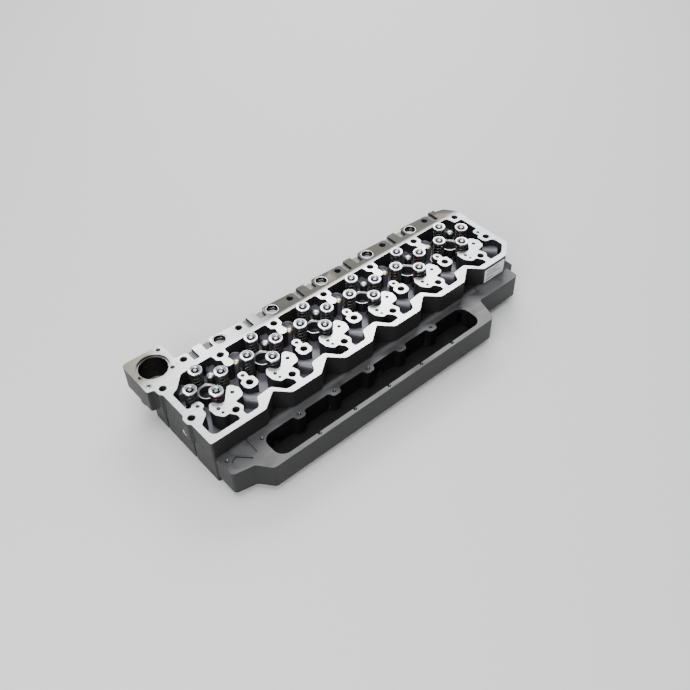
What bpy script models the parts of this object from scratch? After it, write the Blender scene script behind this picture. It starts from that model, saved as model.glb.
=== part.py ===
"""Cylinder head of a six-cylinder, four-valve diesel engine, as it is stored: bare of rockers and injectors,
with its valves, springs and core plugs fitted.

The frame stands on the fire face. X runs from the front (thermostat) end to the rear, Y from the intake side
to the exhaust side and Z from the fire face up to the deck that takes the rocker cover. The origin is on the
fire face, on the bore line, between cylinders three and four.

Lengths are written in millimetres and turned into metres by MM. Places along X are given from a "plane":
plane k lies between cylinders k and k + 1, and the first cylinder's own front plane is plane 0.
"""

import math

import bmesh
import bpy
from mathutils import Matrix, Vector

MM = 0.001

# Driving dimensions
CYLINDERS = 6
PITCH = 120.0
DECK_Z = 105.0
FLOOR_Z = 68.0
LEDGE_Z = 65.0
CENTRE_X = 60.0
VALVE_REACH = 32.0
BOLT_RADIUS = 6.3
STEM_RADIUS = 3.5
GUIDE_END_Z = 44.0
RUNNING_GAP = 0.2
GAP = 0.3
PAST = 2.0

# Facets
FINE_ARC = math.radians(45)
ROUGH_ARC = math.radians(80)
FINE_RADIUS = 8
BOLT_SIDES = 8
BORE_SIDES = 12
BIG_BORE_SIDES = 20
TURN_STEPS = 8
TURN_START = math.radians(7)
SMALL_SIDES = 6
RUNNER_SIDES = 6

# Head bolts: (row's offset from the plane, y, number of bolts)
BOLT_ROWS = ((0, 44, 7), (0, -44, 7), (65, 78.5, 6), (66, -78.5, 6))

# Valves: place from the cylinder's centre, and the names that say which is which
VALVES = (
    ("intake", "front", -VALVE_REACH, 0.0),
    ("intake", "side", 0.0, -VALVE_REACH),
    ("exhaust", "side", 0.0, VALVE_REACH),
    ("exhaust", "rear", VALVE_REACH, 0.0),
)
SPRING_SEAT_Z = 68.0
RETAINER_Z = 115.5
RETAINER_RADIUS = 12.8
SPRING_TURNS = 5
SPRING_POINTS_A_TURN = 6
SPRING_RADIUS = 10.2
WIRE_RADIUS = 2.0
VALVE_HEAD = {"intake": 16.5, "exhaust": 15.5}

# Rocker box
WALL_Y = -112.0
BOX_Y = -100.5
EXHAUST_Y = 93.0
BOX_EXHAUST_Y = 52.0

# Plenum
PLENUM_FLOOR_Z = 24.0
PLENUM_LOW_Z = 14.0
PLENUM_BOLT_FIRST = 77.5
PLENUM_BOLT_PITCH = 80.0
PLENUM_BOLTS = 7
PLENUM_BOLT_ROWS = (-129.0, -182.0)
OPENING_X = (77.0, 562.0)
OPENING_Y = (-128.0, -183.0)

# Thermostat housing
THERMOSTAT = (15.0, 100.0)
THERMOSTAT_RADIUS = 27.0

# Exhaust ports and the screws of their manifold (x after the plane, z)
EXHAUST_FACE_Y = 94.5
EXHAUST_RUN_RADIUS = 9.5
PORT_X = 100.0
PORT_Z = 29.0
PORT_RADIUS = 14.0
FLANGE_HALF = 26.0
LUG_Z = 101.0
MANIFOLD_SCREWS = ((PORT_X, 84.0), (PORT_X - 20, 9.5))

# Coolant gallery and its plugs
CORE_PLUG = (22.0, 77.5)
CORE_PLUG_RADIUS = 12.7
CORE_PLUG_DEPTH = 9.0
REAR_PLUG_RADIUS = 14.0
GALLERY_Y = 62.0
GALLERY_Z = 51.0
GALLERY_RADIUS = 6.5

# What stands in the rocker box: the pillar from the cylinder's centre, the other one from the plane
BOSS_RADIUS = 18.0
BOSS_Z = 90.0
PILLAR = (20.5, 19.0)
PILLAR_RADIUS = 7.0
PILLAR_SIDES = 8
PILLAR_Z = 99.0
PLANE_PILLAR = (13.0, 15.5)
INJECTOR_BORE = ((0, DECK_Z), (14.5, DECK_Z), (14.5, 70), (8, 60), (4.5, 12), (4.5, -PAST), (0, -PAST))

# Push-rod holes, two a cylinder
PUSHRODS = ((50.0, -89.5), (85.5, -90.5))
PUSHROD_RADIUS = 7.2

# Cast roof of each intake port, which runs from the rocker pedestal past the bolt boss to the wall
ROOF_START = (90.0, -41.0)
ROOF_REACH = 44.0
ROOF_RADIUS = 11.5
ROOF_AXIS_Z = 76.0


def along(plane, x):
    """X of a place x after a plane, from the head's middle plane, in millimetres."""
    return (plane - CYLINDERS / 2) * PITCH + x


def cylinders():
    return range(CYLINDERS)


def inner_planes():
    return range(1, CYLINDERS)


# Screw holes (x, y): two on each rocker pedestal and one injector clamp's by each plane
DECK_SCREWS = [(along(k, x), y) for k in cylinders() for x, y in ((45, -57.5), (84, -43))]
DECK_SCREWS += [(along(k, 0), -23.5) for k in inner_planes()]
DECK_SCREWS += [(along(0, 22), -30), (along(CYLINDERS, -2), -23.5)]
COVER_SCREWS = ((-16, 91), (40, 75.5), (44, 129))
PLENUM_SCREWS = [(along(0, PLENUM_BOLT_FIRST + i * PLENUM_BOLT_PITCH), PLENUM_BOLT_ROWS[0])
                 for i in range(PLENUM_BOLTS)]
PLENUM_SCREWS += [(x, PLENUM_BOLT_ROWS[1] - 3) for x, _ in PLENUM_SCREWS[1:-1]]

# Socket plugs: outer end, inner end and radius. The socket is that share of the plug's radius
SOCKET_SHARE = 0.55
SOCKET_PLUGS = {
    "front_gallery_plug": ((along(0, -6), -20, 50), (along(0, 6), -20, 50), 7),
    "rear_gallery_plug": ((along(CYLINDERS, 15), -20, 50), (along(CYLINDERS, 3), -20, 50), 7),
    "coolant_port_plug": ((along(0, -15), 65, DECK_Z), (along(0, -15), 65, DECK_Z - 12), 6),
}

# Outlines: lists of corners (x, y, corner radius)


def shifted(corners, plane):
    return [(along(plane, x), y, radius) for x, y, radius in corners]


def deck_outline():
    """Outer edge of the deck, from the front corner on the intake side, anticlockwise from above."""
    corners = shifted([(-8, WALL_Y, 4)], 0)
    for k in inner_planes():
        corners += shifted([(-16, WALL_Y, 7), (17, -87, 4), (41, WALL_Y, 12)], k)
    corners += shifted([(-15, WALL_Y, 8), (17, -86, 8), (18, 26, 3), (20.5, 32, 3)], CYLINDERS)
    corners += shifted([(20, 56, 10)], CYLINDERS)
    corners += shifted([(2, 80, 8), (-20, 86, 6), (-28, EXHAUST_Y, 4)], CYLINDERS)
    for k in reversed(cylinders()):
        if k < CYLINDERS - 1:
            corners += shifted([(126, EXHAUST_Y, 7), (124, 70, 2), (109, 70, 2), (109, EXHAUST_Y, 1)], k)
        corners += shifted([(91, EXHAUST_Y, 1), (91, 64, 2), (78.5, 64, 2), (78.5, 89, 6)], k)
    corners += shifted([(54.5, 91, 6), (54.5, 138, 7), (-26, 140, 9), (-26, 53, 4)], 0)
    return corners + shifted([(-13, 50, 5), (-13, 36, 6), (-8, 30, 3), (-8, -31, 3), (-13, -37, 6),
                              (-13, -51, 6), (-8, -57, 3)], 0)


PEDESTAL = [(60.5, BOX_Y, 4), (60.5, -90, 3), (53, -78.5, 5), (42, -79, 7), (33, -66, 8), (32, -50, 8),
            (42, -34, 7), (58, -57, 9), (88.5, -21, 7), (99.5, -42, 9), (95, -60.5, 9), (75.5, -63, 3),
            (81, -80, 8), (73, -90, 4), (73, BOX_Y, 4)]
WALL_STEP = [(-21, BOX_Y, 10), (-11, -80, 6), (20, -77, 9), (39, BOX_Y, 10)]
PENINSULA = [(13.5, BOX_EXHAUST_Y, 4), (13, 36, 4), (6.5, 31, 3), (10.5, 10.5, 8), (-10.5, 10.5, 8),
             (-6.5, 31, 3), (-13, 36, 4), (-14.5, BOX_EXHAUST_Y, 4)]
BOX_FRONT = [(42, BOX_EXHAUST_Y, 10), (17, 26.5, 8), (4.5, 21, 6), (4.5, -24, 6), (12, -25.5, 2),
             (16, -20, 6), (30, -20, 8), (32, -35, 6), (24, -41, 4), (24, -53, 10), (4.5, -68, 7),
             (4.5, BOX_Y, 12)]
BOX_REAR = [(-17, BOX_Y, 14), (5, -84, 8), (5, -58, 9), (-14, -55, 9), (-15, -34, 6), (-7.5, -31, 2),
            (-11, -14.5, 8), (5, -13.5, 2), (5, 30, 4), (-13, 30, 5), (-17, BOX_EXHAUST_Y, 7)]
KEYHOLE = [(13.5, -35, 9), (6.5, -33, 3), (9.5, -14.5, 9), (-9.5, -14.5, 9), (-6.5, -33, 3),
           (-13.5, -35, 9), (-13.5, -57.5, 13), (13.5, -57.5, 13)]


def rocker_box_outline():
    """The open box round the valve gear: along the intake side, round the rear and back."""
    corners = []
    for k in cylinders():
        corners += shifted(PEDESTAL, k)
        if k < CYLINDERS - 1:
            corners += shifted(WALL_STEP, k + 1)
    corners += shifted(BOX_REAR, CYLINDERS)
    for k in reversed(inner_planes()):
        corners += shifted(PENINSULA, k)
    return corners + shifted(BOX_FRONT, 0)


def plenum_opening_outline():
    """The slot in the top of the intake plenum, with a lug round each cover bolt."""
    inner, outer = OPENING_Y
    corners = [(along(0, OPENING_X[0]), outer, 20), (along(0, OPENING_X[1]), outer, 20),
               (along(0, OPENING_X[1]), inner, 20)]
    lug = [(12, inner, 5), (9, inner - 11, 8), (-9, inner - 11, 8), (-12, inner, 5)]
    for i in reversed(range(1, PLENUM_BOLTS - 1)):
        at = PLENUM_BOLT_FIRST + i * PLENUM_BOLT_PITCH
        corners += [(along(0, at + x), y, radius) for x, y, radius in lug]
    return corners + [(along(0, OPENING_X[0]), inner, 20)]


def lower_block_outline():
    low_y, high_y = WALL_Y + 2, EXHAUST_Y - 4
    return (shifted([(-6, low_y, 4)], 0) + shifted([(15, low_y, 4), (15, high_y, 4)], CYLINDERS)
            + shifted([(-6, high_y, 4)], 0))


def ledge_outline():
    return (shifted([(-4, WALL_Y + 6, 0), (-4, -158, 8), (36, -166, 10), (56, -192, 12)], 0)
            + shifted([(-14, -192, 12), (2, -140, 8), (116, -140, 8), (116, WALL_Y + 6, 0)], CYLINDERS - 1))


def circle(x, y, radius, sides):
    turns = [TURN_START + 2 * math.pi * i / sides for i in range(sides)]
    return [(x + radius * math.cos(turn), y + radius * math.sin(turn), 0) for turn in turns]


def box_outline(low_x, high_x, low_y, high_y):
    return [(low_x, low_y, 0), (high_x, low_y, 0), (high_x, high_y, 0), (low_x, high_y, 0)]


# Shape makers


def rounded(corners):
    """The closed outline's points in metres, with an arc at each corner that has a radius."""
    points = []
    for i, (x, y, radius) in enumerate(corners):
        corner = Vector((x, y))
        before = Vector(corners[i - 1][:2]) - corner
        after = Vector(corners[(i + 1) % len(corners)][:2]) - corner
        if radius == 0:
            points.append(corner * MM)
            continue
        half = before.angle(after) / 2
        reach = min(radius / math.tan(half), 0.48 * before.length, 0.48 * after.length)
        middle = (before.normalized() + after.normalized()).normalized()
        centre = corner + middle * reach / math.cos(half)
        first = corner + before.normalized() * reach - centre
        last = corner + after.normalized() * reach - centre
        turn = math.atan2(first.x * last.y - first.y * last.x, first.dot(last))
        steps = max(1, round(abs(turn) / (FINE_ARC if radius > FINE_RADIUS else ROUGH_ARC)))
        for step in range(steps + 1):
            spoke = first.copy()
            spoke.rotate(Matrix.Rotation(turn * step / steps, 2))
            points.append((centre + spoke) * MM)
    return points


def new_object(name, data, collection):
    made = bpy.data.objects.new(name, data)
    collection.objects.link(made)
    return made


def curve_to_mesh(curve_object, collection):
    """Replaces a curve object by a mesh object of the same shape, with its caps welded on."""
    name = curve_object.name
    graph = bpy.context.evaluated_depsgraph_get()
    mesh = bpy.data.meshes.new_from_object(curve_object.evaluated_get(graph))
    shape = bmesh.new()
    shape.from_mesh(mesh)
    bmesh.ops.remove_doubles(shape, verts=shape.verts, dist=1e-6)
    bmesh.ops.recalc_face_normals(shape, faces=shape.faces)
    shape.to_mesh(mesh)
    shape.free()
    place = curve_object.matrix_world.copy()
    bpy.data.objects.remove(curve_object)
    made = new_object(name, mesh, collection)
    made.matrix_world = place
    return made


def plate(name, outlines, low, high, collection):
    """A flat solid from height low to high, in millimetres. Outlines inside the first one are holes."""
    curve = bpy.data.curves.new(name, "CURVE")
    curve.dimensions = "2D"
    curve.fill_mode = "BOTH"
    curve.extrude = (high - low) / 2 * MM
    for outline in outlines:
        points = rounded(outline)
        spline = curve.splines.new("POLY")
        spline.points.add(len(points) - 1)
        for point, place in zip(spline.points, points):
            point.co = (place.x, place.y, 0, 1)
        spline.use_cyclic_u = True
    made = new_object(name, curve, collection)
    made.location.z = (low + high) / 2 * MM
    bpy.context.view_layer.update()
    return curve_to_mesh(made, collection)


def rod(name, start, end, radius, sides, collection, end_radius=None):
    """A straight cylinder or cone between two points, in millimetres."""
    first, last = Vector(start) * MM, Vector(end) * MM
    mesh = bpy.data.meshes.new(name)
    shape = bmesh.new()
    bmesh.ops.create_cone(shape, cap_ends=True, segments=sides, radius1=radius * MM,
                          radius2=(radius if end_radius is None else end_radius) * MM,
                          depth=(last - first).length)
    shape.to_mesh(mesh)
    shape.free()
    made = new_object(name, mesh, collection)
    made.rotation_mode = "QUATERNION"
    made.rotation_quaternion = Vector((0, 0, 1)).rotation_difference(last - first)
    made.location = (first + last) / 2
    return made


def hole_radius(radius, sides):
    """Radius of a faceted hole whose flats stay clear of a round piece, however the facets are turned."""
    return (radius + GAP) / math.cos(math.pi / sides)


def upright(name, x, y, low, high, radius, sides, collection):
    return rod(name, (x, y, low), (x, y, high), radius, sides, collection)


def turned(name, profile, x, y, collection, steps=TURN_STEPS):
    """A shape turned about a vertical axis from (radius, height) points, top to bottom on its outer side."""
    mesh = bpy.data.meshes.new(name)
    points = [(radius * MM, 0, height * MM) for radius, height in profile]
    mesh.from_pydata(points, [(i, i + 1) for i in range(len(points) - 1)], [])
    made = new_object(name, mesh, collection)
    made.location = (x * MM, y * MM, 0)
    made.rotation_euler.z = TURN_START
    screw = made.modifiers.new("turn", "SCREW")
    screw.steps = steps
    screw.render_steps = steps
    screw.use_merge_vertices = True
    screw.merge_threshold = 1e-5
    return made


def combine(target, operation, collection):
    modifier = target.modifiers.new(collection.name, "BOOLEAN")
    modifier.operation = operation
    modifier.operand_type = "COLLECTION"
    modifier.collection = collection
    modifier.solver = "EXACT"


def new_collection(name):
    made = bpy.data.collections.new(name)
    bpy.context.scene.collection.children.link(made)
    return made


def material(name, colour, roughness, metallic):
    made = bpy.data.materials.new(name)
    made.use_nodes = True
    shader = made.node_tree.nodes["Principled BSDF"]
    shader.inputs["Base Color"].default_value = (*colour, 1)
    shader.inputs["Roughness"].default_value = roughness
    shader.inputs["Metallic"].default_value = metallic
    return made


# The casting


def outer_shapes(group):
    """Everything that is joined to the lower block to make the casting's outside."""
    plate("upper_block", [deck_outline()], LEDGE_Z - 8, DECK_Z, group)
    plate("intake_ledge", [ledge_outline()], PLENUM_LOW_Z, LEDGE_Z, group)
    x, y = THERMOSTAT
    upright("thermostat_bowl", along(0, x), y, 34, DECK_Z - 8, THERMOSTAT_RADIUS + 9, BORE_SIDES, group)
    for k in cylinders():
        port = along(k, PORT_X)
        flange = box_outline(port - FLANGE_HALF, port + FLANGE_HALF, 70, EXHAUST_FACE_Y)
        plate(f"exhaust_flange_{k}", [flange], 4, PORT_Z + 24, group)
        lug = box_outline(port - 8.5, port + 7.5, 60, EXHAUST_FACE_Y)
        plate(f"exhaust_lug_{k}", [lug], 50, LUG_Z, group)


def hollows(group):
    """The rocker box, with what stands in it left whole, and the plenum."""
    islands = [shifted(KEYHOLE, k) for k in inner_planes()]
    for k in cylinders():
        injector = along(k, CENTRE_X)
        islands.append(circle(injector, 0, BOSS_RADIUS, BORE_SIDES))
        islands.append(circle(injector + PILLAR[0], PILLAR[1], PILLAR_RADIUS, PILLAR_SIDES))
        upright(f"boss_top_{k}", injector, 0, BOSS_Z, DECK_Z + PAST, BOSS_RADIUS + 1, BORE_SIDES, group)
        upright(f"pillar_top_{k}", injector + PILLAR[0], PILLAR[1], PILLAR_Z, DECK_Z + PAST,
                PILLAR_RADIUS + 1, PILLAR_SIDES, group)
    plate("rocker_box", [rocker_box_outline(), *islands], FLOOR_Z, DECK_Z + PAST, group)
    plate("plenum_slot", [plenum_opening_outline()], PLENUM_FLOOR_Z, LEDGE_Z + PAST, group)
    tail = box_outline(along(0, OPENING_X[1] - 12), along(CYLINDERS, -7), OPENING_Y[0] - 8,
                       OPENING_Y[0] + 10)
    plate("plenum_tail", [tail], PLENUM_FLOOR_Z + 2, LEDGE_Z - 10, group)


def plane_pillars(group):
    """The pillar against the end of each wall between two cylinders."""
    for k in inner_planes():
        x, y = PLANE_PILLAR
        upright(f"plane_pillar_{k}", along(k, x), y, FLOOR_Z - 4, PILLAR_Z, PILLAR_RADIUS - 1,
                PILLAR_SIDES, group)


def port_roofs(group):
    """The humped roof of an intake port ahead of each plane, at 45 degrees to the wall."""
    x, y = ROOF_START
    for k in inner_planes():
        start = (along(k - 1, x), y, ROOF_AXIS_Z)
        end = (start[0] + ROOF_REACH, y - ROOF_REACH, ROOF_AXIS_Z)
        rod(f"port_roof_{k}", start, end, ROOF_RADIUS, BOLT_SIDES, group)


def bolt_holes(group):
    for offset, y, count in BOLT_ROWS:
        for k in range(count):
            upright(f"bolt_{offset}_{y}_{k}", along(k, offset), y, -PAST, DECK_Z + PAST, BOLT_RADIUS,
                    BOLT_SIDES, group)


def valve_bores(group):
    """Guide bore, port bowl and seat below each valve, and the injector's stepped bore."""
    for k in cylinders():
        x = along(k, CENTRE_X)
        for kind, place, dx, dy in VALVES:
            seat, guide = VALVE_HEAD[kind] + GAP, STEM_RADIUS + RUNNING_GAP
            profile = [(0, FLOOR_Z + PAST), (guide, FLOOR_Z + PAST), (guide, GUIDE_END_Z), (seat - 4, 5),
                       (seat + 3, -PAST), (0, -PAST)]
            turned(f"bowl_{kind}_{place}_{k}", profile, x + dx, dy, group)
        turned(f"injector_bore_{k}", INJECTOR_BORE, x, 0, group, steps=BORE_SIDES)


def ports(group):
    """A straight intake runner through both bowls of a cylinder, and an exhaust port that forks to two."""
    for k in cylinders():
        x = along(k, CENTRE_X)
        bend = (along(k, 102), -74, 29)
        rod(f"intake_bowl_run_{k}", (x - VALVE_REACH, 0, 29), bend, 10.5, RUNNER_SIDES, group)
        rod(f"intake_wall_run_{k}", (along(k, 101), -71, 30), (along(k, 106), -131, 34), 8, RUNNER_SIDES,
            group)
        port = along(k, PORT_X)
        mouth, throat = (port, EXHAUST_FACE_Y + PAST, PORT_Z), (port - 3, 50, PORT_Z)
        rod(f"exhaust_mouth_{k}", mouth, throat, PORT_RADIUS, BORE_SIDES, group)
        rear, side = (x + VALVE_REACH, 0, PORT_Z - 1), (x, VALVE_REACH, PORT_Z - 2)
        forks = ((port - 3, 58, PORT_Z - 1), rear), ((port - 2, 65, PORT_Z + 1), side)
        for i, (start, end) in enumerate(forks):
            rod(f"exhaust_run_{i}_{k}", start, end, EXHAUST_RUN_RADIUS, RUNNER_SIDES, group)


def pushrod_holes(group):
    for k in cylinders():
        for i, (x, y) in enumerate(PUSHRODS):
            upright(f"pushrod_{i}_{k}", along(k, x), y, -PAST, FLOOR_Z + PAST, PUSHROD_RADIUS, BOLT_SIDES,
                    group)


def water_gallery(group):
    """The coolant gallery from the thermostat bowl to the rear wall, and the core holes above it."""
    x, y = along(0, THERMOSTAT[0]), THERMOSTAT[1]
    start, end = (along(0, 42), GALLERY_Y, GALLERY_Z), (along(CYLINDERS, 15) + PAST, GALLERY_Y, GALLERY_Z)
    rod("gallery", start, end, GALLERY_RADIUS, BOLT_SIDES, group)
    rod("gallery_elbow", (x, y, GALLERY_Z + 3), (start[0] + 7, GALLERY_Y - 2, GALLERY_Z),
        GALLERY_RADIUS - 0.5, BOLT_SIDES, group)
    rod("gallery_end", (along(CYLINDERS, 5), GALLERY_Y, GALLERY_Z), end,
        hole_radius(REAR_PLUG_RADIUS, BORE_SIDES), BORE_SIDES, group)
    upright("thermostat_bore", x, y, 46, DECK_Z + PAST, THERMOSTAT_RADIUS, BIG_BORE_SIDES, group)
    upright("thermostat_ledge", x, y, DECK_Z - 4, DECK_Z + PAST, THERMOSTAT_RADIUS + 3, BIG_BORE_SIDES,
            group)
    x, y = CORE_PLUG
    radius = hole_radius(CORE_PLUG_RADIUS, BORE_SIDES)
    for k in inner_planes():
        upright(f"core_hole_{k}", along(k, x), y, 84, DECK_Z + PAST, radius, BORE_SIDES, group)


def threaded_holes(group):
    """Screw holes: rocker pedestals, injector clamps, thermostat cover, plenum cover and exhaust manifold."""
    for i, (x, y) in enumerate(DECK_SCREWS):
        upright(f"deck_screw_{i}", x, y, DECK_Z - 22, DECK_Z + PAST, 3, SMALL_SIDES, group)
    for i, (x, y) in enumerate(COVER_SCREWS):
        upright(f"cover_screw_{i}", along(0, x), y, DECK_Z - 18, DECK_Z + PAST, 3.4, SMALL_SIDES, group)
    for i, (x, y) in enumerate(PLENUM_SCREWS):
        upright(f"plenum_screw_{i}", x, y, LEDGE_Z - 16, LEDGE_Z + PAST, 3, SMALL_SIDES, group)
    for k in cylinders():
        for i, (x, z) in enumerate(MANIFOLD_SCREWS):
            end = along(k, x), EXHAUST_FACE_Y + PAST, z
            rod(f"manifold_screw_{i}_{k}", end, (end[0], EXHAUST_FACE_Y - 20, z), 4, SMALL_SIDES, group)


def plug_holes(group):
    """Holes of the socket plugs, deeper than the plugs."""
    for name, (outer, inner, radius) in SOCKET_PLUGS.items():
        inward = (Vector(inner) - Vector(outer)).normalized()
        start, end = Vector(outer) - inward * PAST, Vector(inner) + inward * 4
        rod(f"hole_{name}", start, end, radius + GAP, 10, group)


def head_casting(parts, iron):
    blank = plate("head_casting", [lower_block_outline()], 0, LEDGE_Z - 4, parts)
    stages = (("outside", "UNION", (outer_shapes,)),
              ("openings", "DIFFERENCE", (hollows,)),
              ("pillars", "UNION", (plane_pillars, port_roofs)),
              ("bores", "DIFFERENCE", (bolt_holes, valve_bores, ports, pushrod_holes, water_gallery,
                                       threaded_holes, plug_holes)))
    for name, operation, makers in stages:
        group = new_collection(name)
        for make in makers:
            make(group)
        for helper in group.objects:
            helper.hide_render = True
            helper.display_type = "WIRE"
        combine(blank, operation, group)
    flat = blank.modifiers.new("flat_faces", "DECIMATE")
    flat.decimate_type = "DISSOLVE"
    flat.angle_limit = math.radians(0.2)
    blank.data.materials.append(iron)


# The loose pieces


def valve_profile(kind):
    """Stem, collets and retainer in one turned piece: tip and retainer first, poppet head last."""
    tip, flange = RETAINER_Z + 2.5, RETAINER_Z + 3
    head = VALVE_HEAD[kind]
    return [(0, tip), (6, tip), (7, flange), (RETAINER_RADIUS, flange), (RETAINER_RADIUS, RETAINER_Z),
            (7.4, RETAINER_Z), (6.4, RETAINER_Z - 6), (STEM_RADIUS, RETAINER_Z - 6), (STEM_RADIUS, 20),
            (head - 4, 5), (head, 1), (0, 1)]


def valve(kind, place, k, x, y, parts, steel):
    made = turned(f"{kind}_valve_{k + 1}_{place}", valve_profile(kind), x, y, parts)
    made.data.materials.append(steel)


def spring(kind, place, k, x, y, parts, steel):
    """A coil between its seat in the casting and the retainer."""
    low = SPRING_SEAT_Z + GAP + WIRE_RADIUS
    high = RETAINER_Z - GAP - WIRE_RADIUS
    count = SPRING_TURNS * SPRING_POINTS_A_TURN + 1
    curve = bpy.data.curves.new(f"{kind}_spring", "CURVE")
    curve.dimensions = "3D"
    curve.bevel_depth = WIRE_RADIUS * MM
    curve.bevel_resolution = 0
    curve.use_fill_caps = True
    coil = curve.splines.new("POLY")
    coil.points.add(count - 1)
    for i, point in enumerate(coil.points):
        turn = 2 * math.pi * i / SPRING_POINTS_A_TURN
        height = low + (high - low) * i / (count - 1)
        point.co = (SPRING_RADIUS * math.cos(turn) * MM, SPRING_RADIUS * math.sin(turn) * MM, height * MM, 1)
    made = new_object(f"{kind}_spring_{k + 1}_{place}", curve, parts)
    made.location = (x * MM, y * MM, 0)
    made.data.materials.append(steel)


def core_plugs(parts, steel):
    """Cups pressed into the deck above the gallery, open side up, and a larger one in the rear wall."""
    x, y = CORE_PLUG
    top, floor, wall = DECK_Z - 0.5, DECK_Z - CORE_PLUG_DEPTH, 1.5
    cup = [(0, floor + wall), (CORE_PLUG_RADIUS - 3, floor + wall), (CORE_PLUG_RADIUS - wall, floor + 3),
           (CORE_PLUG_RADIUS - wall, top), (CORE_PLUG_RADIUS, top), (CORE_PLUG_RADIUS, floor + 1),
           (CORE_PLUG_RADIUS - wall, floor), (0, floor)]
    for k in inner_planes():
        made = turned(f"core_plug_{k}", cup, along(k, x), y, parts, steps=BORE_SIDES)
        made.data.materials.append(steel)
    bore = REAR_PLUG_RADIUS - wall
    rear = [(0, -3), (bore, -3), (bore, 4), (REAR_PLUG_RADIUS, 4), (REAR_PLUG_RADIUS, -4.5), (0, -4.5)]
    made = turned("rear_core_plug", rear, 0, 0, parts, steps=BORE_SIDES)
    made.location = (along(CYLINDERS, 10) * MM, GALLERY_Y * MM, GALLERY_Z * MM)
    made.rotation_euler = (0, math.radians(90), 0)
    made.data.materials.append(steel)


def socket_plugs(parts, sockets, steel):
    """Screwed plugs of the drilled oil gallery and of the coolant port, each with a hexagon socket."""
    for name, (outer, inner, radius) in SOCKET_PLUGS.items():
        inward = (Vector(inner) - Vector(outer)).normalized()
        made = rod(name, Vector(outer) - inward, inner, radius, 10, parts)
        made.data.materials.append(steel)
        socket = rod(f"socket_{name}", Vector(outer) - inward * 3, Vector(outer) + inward * 5,
                     radius * SOCKET_SHARE, 6, sockets)
        socket.hide_render = True
        socket.display_type = "WIRE"
        cut = made.modifiers.new("socket", "BOOLEAN")
        cut.operation = "DIFFERENCE"
        cut.object = socket


def main():
    for old in list(bpy.data.objects):
        bpy.data.objects.remove(old)
    parts = new_collection("cylinder_head")
    iron = material("cast_iron", (0.09, 0.09, 0.095), 0.6, 0.7)
    steel = material("polished_steel", (0.72, 0.73, 0.75), 0.25, 1)
    spring_steel = material("spring_steel", (0.05, 0.05, 0.055), 0.4, 0.8)
    plug_steel = material("plated_steel", (0.6, 0.6, 0.6), 0.3, 1)
    head_casting(parts, iron)
    for k in cylinders():
        for kind, place, dx, dy in VALVES:
            x = along(k, CENTRE_X) + dx
            valve(kind, place, k, x, dy, parts, steel)
            spring(kind, place, k, x, dy, parts, spring_steel)
    core_plugs(parts, plug_steel)
    socket_plugs(parts, new_collection("sockets"), plug_steel)


main()
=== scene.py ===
"""Looks of the six-cylinder diesel head: the casting redrawn with fine outlines and cast detail, and each
valve, retainer, collet, spring, seal, guide, seat and plug as its own piece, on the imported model's bodies.

Lengths are in millimetres in the row frame and turned into metres by MM, as in the model. X runs from the
front end to the rear, Y from the intake side to the exhaust side, and Z up from the fire face.
"""

import math
import random

import bmesh
import bpy
from mathutils import Matrix, Vector


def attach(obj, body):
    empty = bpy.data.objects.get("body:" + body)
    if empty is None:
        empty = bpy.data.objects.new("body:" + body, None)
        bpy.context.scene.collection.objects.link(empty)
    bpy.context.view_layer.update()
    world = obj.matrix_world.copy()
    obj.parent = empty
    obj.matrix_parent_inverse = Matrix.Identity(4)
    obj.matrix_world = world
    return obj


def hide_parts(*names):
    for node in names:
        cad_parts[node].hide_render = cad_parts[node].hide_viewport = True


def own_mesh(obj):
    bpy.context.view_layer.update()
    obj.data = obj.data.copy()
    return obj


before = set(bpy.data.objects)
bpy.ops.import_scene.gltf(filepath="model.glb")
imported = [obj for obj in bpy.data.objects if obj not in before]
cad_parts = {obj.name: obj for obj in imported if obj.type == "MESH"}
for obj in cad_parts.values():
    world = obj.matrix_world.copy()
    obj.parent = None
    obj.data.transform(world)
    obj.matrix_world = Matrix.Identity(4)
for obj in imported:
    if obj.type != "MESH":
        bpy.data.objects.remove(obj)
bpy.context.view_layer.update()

MM = 0.001
QUARTER = math.pi / 2

# The model's own driving sizes
CYLINDERS = 6
PITCH = 120.0
DECK_Z = 105.0
FLOOR_Z = 68.0
LEDGE_Z = 65.0
CENTRE_X = 60.0
VALVE_REACH = 32.0
RETAINER_Z = 115.5
WALL_Y = -112.0
BOX_Y = -100.5
EXHAUST_Y = 93.0
EXHAUST_FACE_Y = 94.5
BOX_EXHAUST_Y = 52.0
PLENUM_FLOOR_Z = 24.0
PLENUM_LOW_Z = 14.0
PLENUM_BOLT_FIRST = 77.5
PLENUM_BOLT_PITCH = 80.0
PLENUM_BOLTS = 7
PLENUM_BOLT_ROWS = (-129.0, -182.0)
OPENING_X = (77.0, 562.0)
OPENING_Y = (-128.0, -183.0)
THERMOSTAT = (15.0, 100.0)
THERMOSTAT_RADIUS = 27.0
PORT_X = 100.0
PORT_Z = 29.0
CORE_PLUG = (22.0, 77.5)
CORE_PLUG_RADIUS = 12.7
GALLERY_Y = 62.0
GALLERY_Z = 51.0
BOSS_RADIUS = 18.0
BOSS_Z = 90.0
PILLAR = (20.5, 19.0)
PILLAR_RADIUS = 7.0
PILLAR_Z = 101.5
PLANE_PILLAR = (13.0, 15.5)
ROOF_START = (92.0, -38.0)
ROOF_REACH = 40.0
ROOF_RADIUS = 13.0
ROOF_AXIS_Z = 77.0
SLOT_FLOOR_Z = 99.5
BOLT_RADIUS = 6.3
BOLT_ROWS = ((0, 44, 7), (0, -44, 7), (65, 78.5, 6), (66, -78.5, 6))
VALVES = (
    ("intake", "front", -VALVE_REACH, 0.0),
    ("intake", "side", 0.0, -VALVE_REACH),
    ("exhaust", "side", 0.0, VALVE_REACH),
    ("exhaust", "rear", VALVE_REACH, 0.0),
)
VALVE_HEAD = {"intake": 16.5, "exhaust": 15.5}
FLANGE_HALF = 26.0
LUG_Z = 101.0
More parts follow.
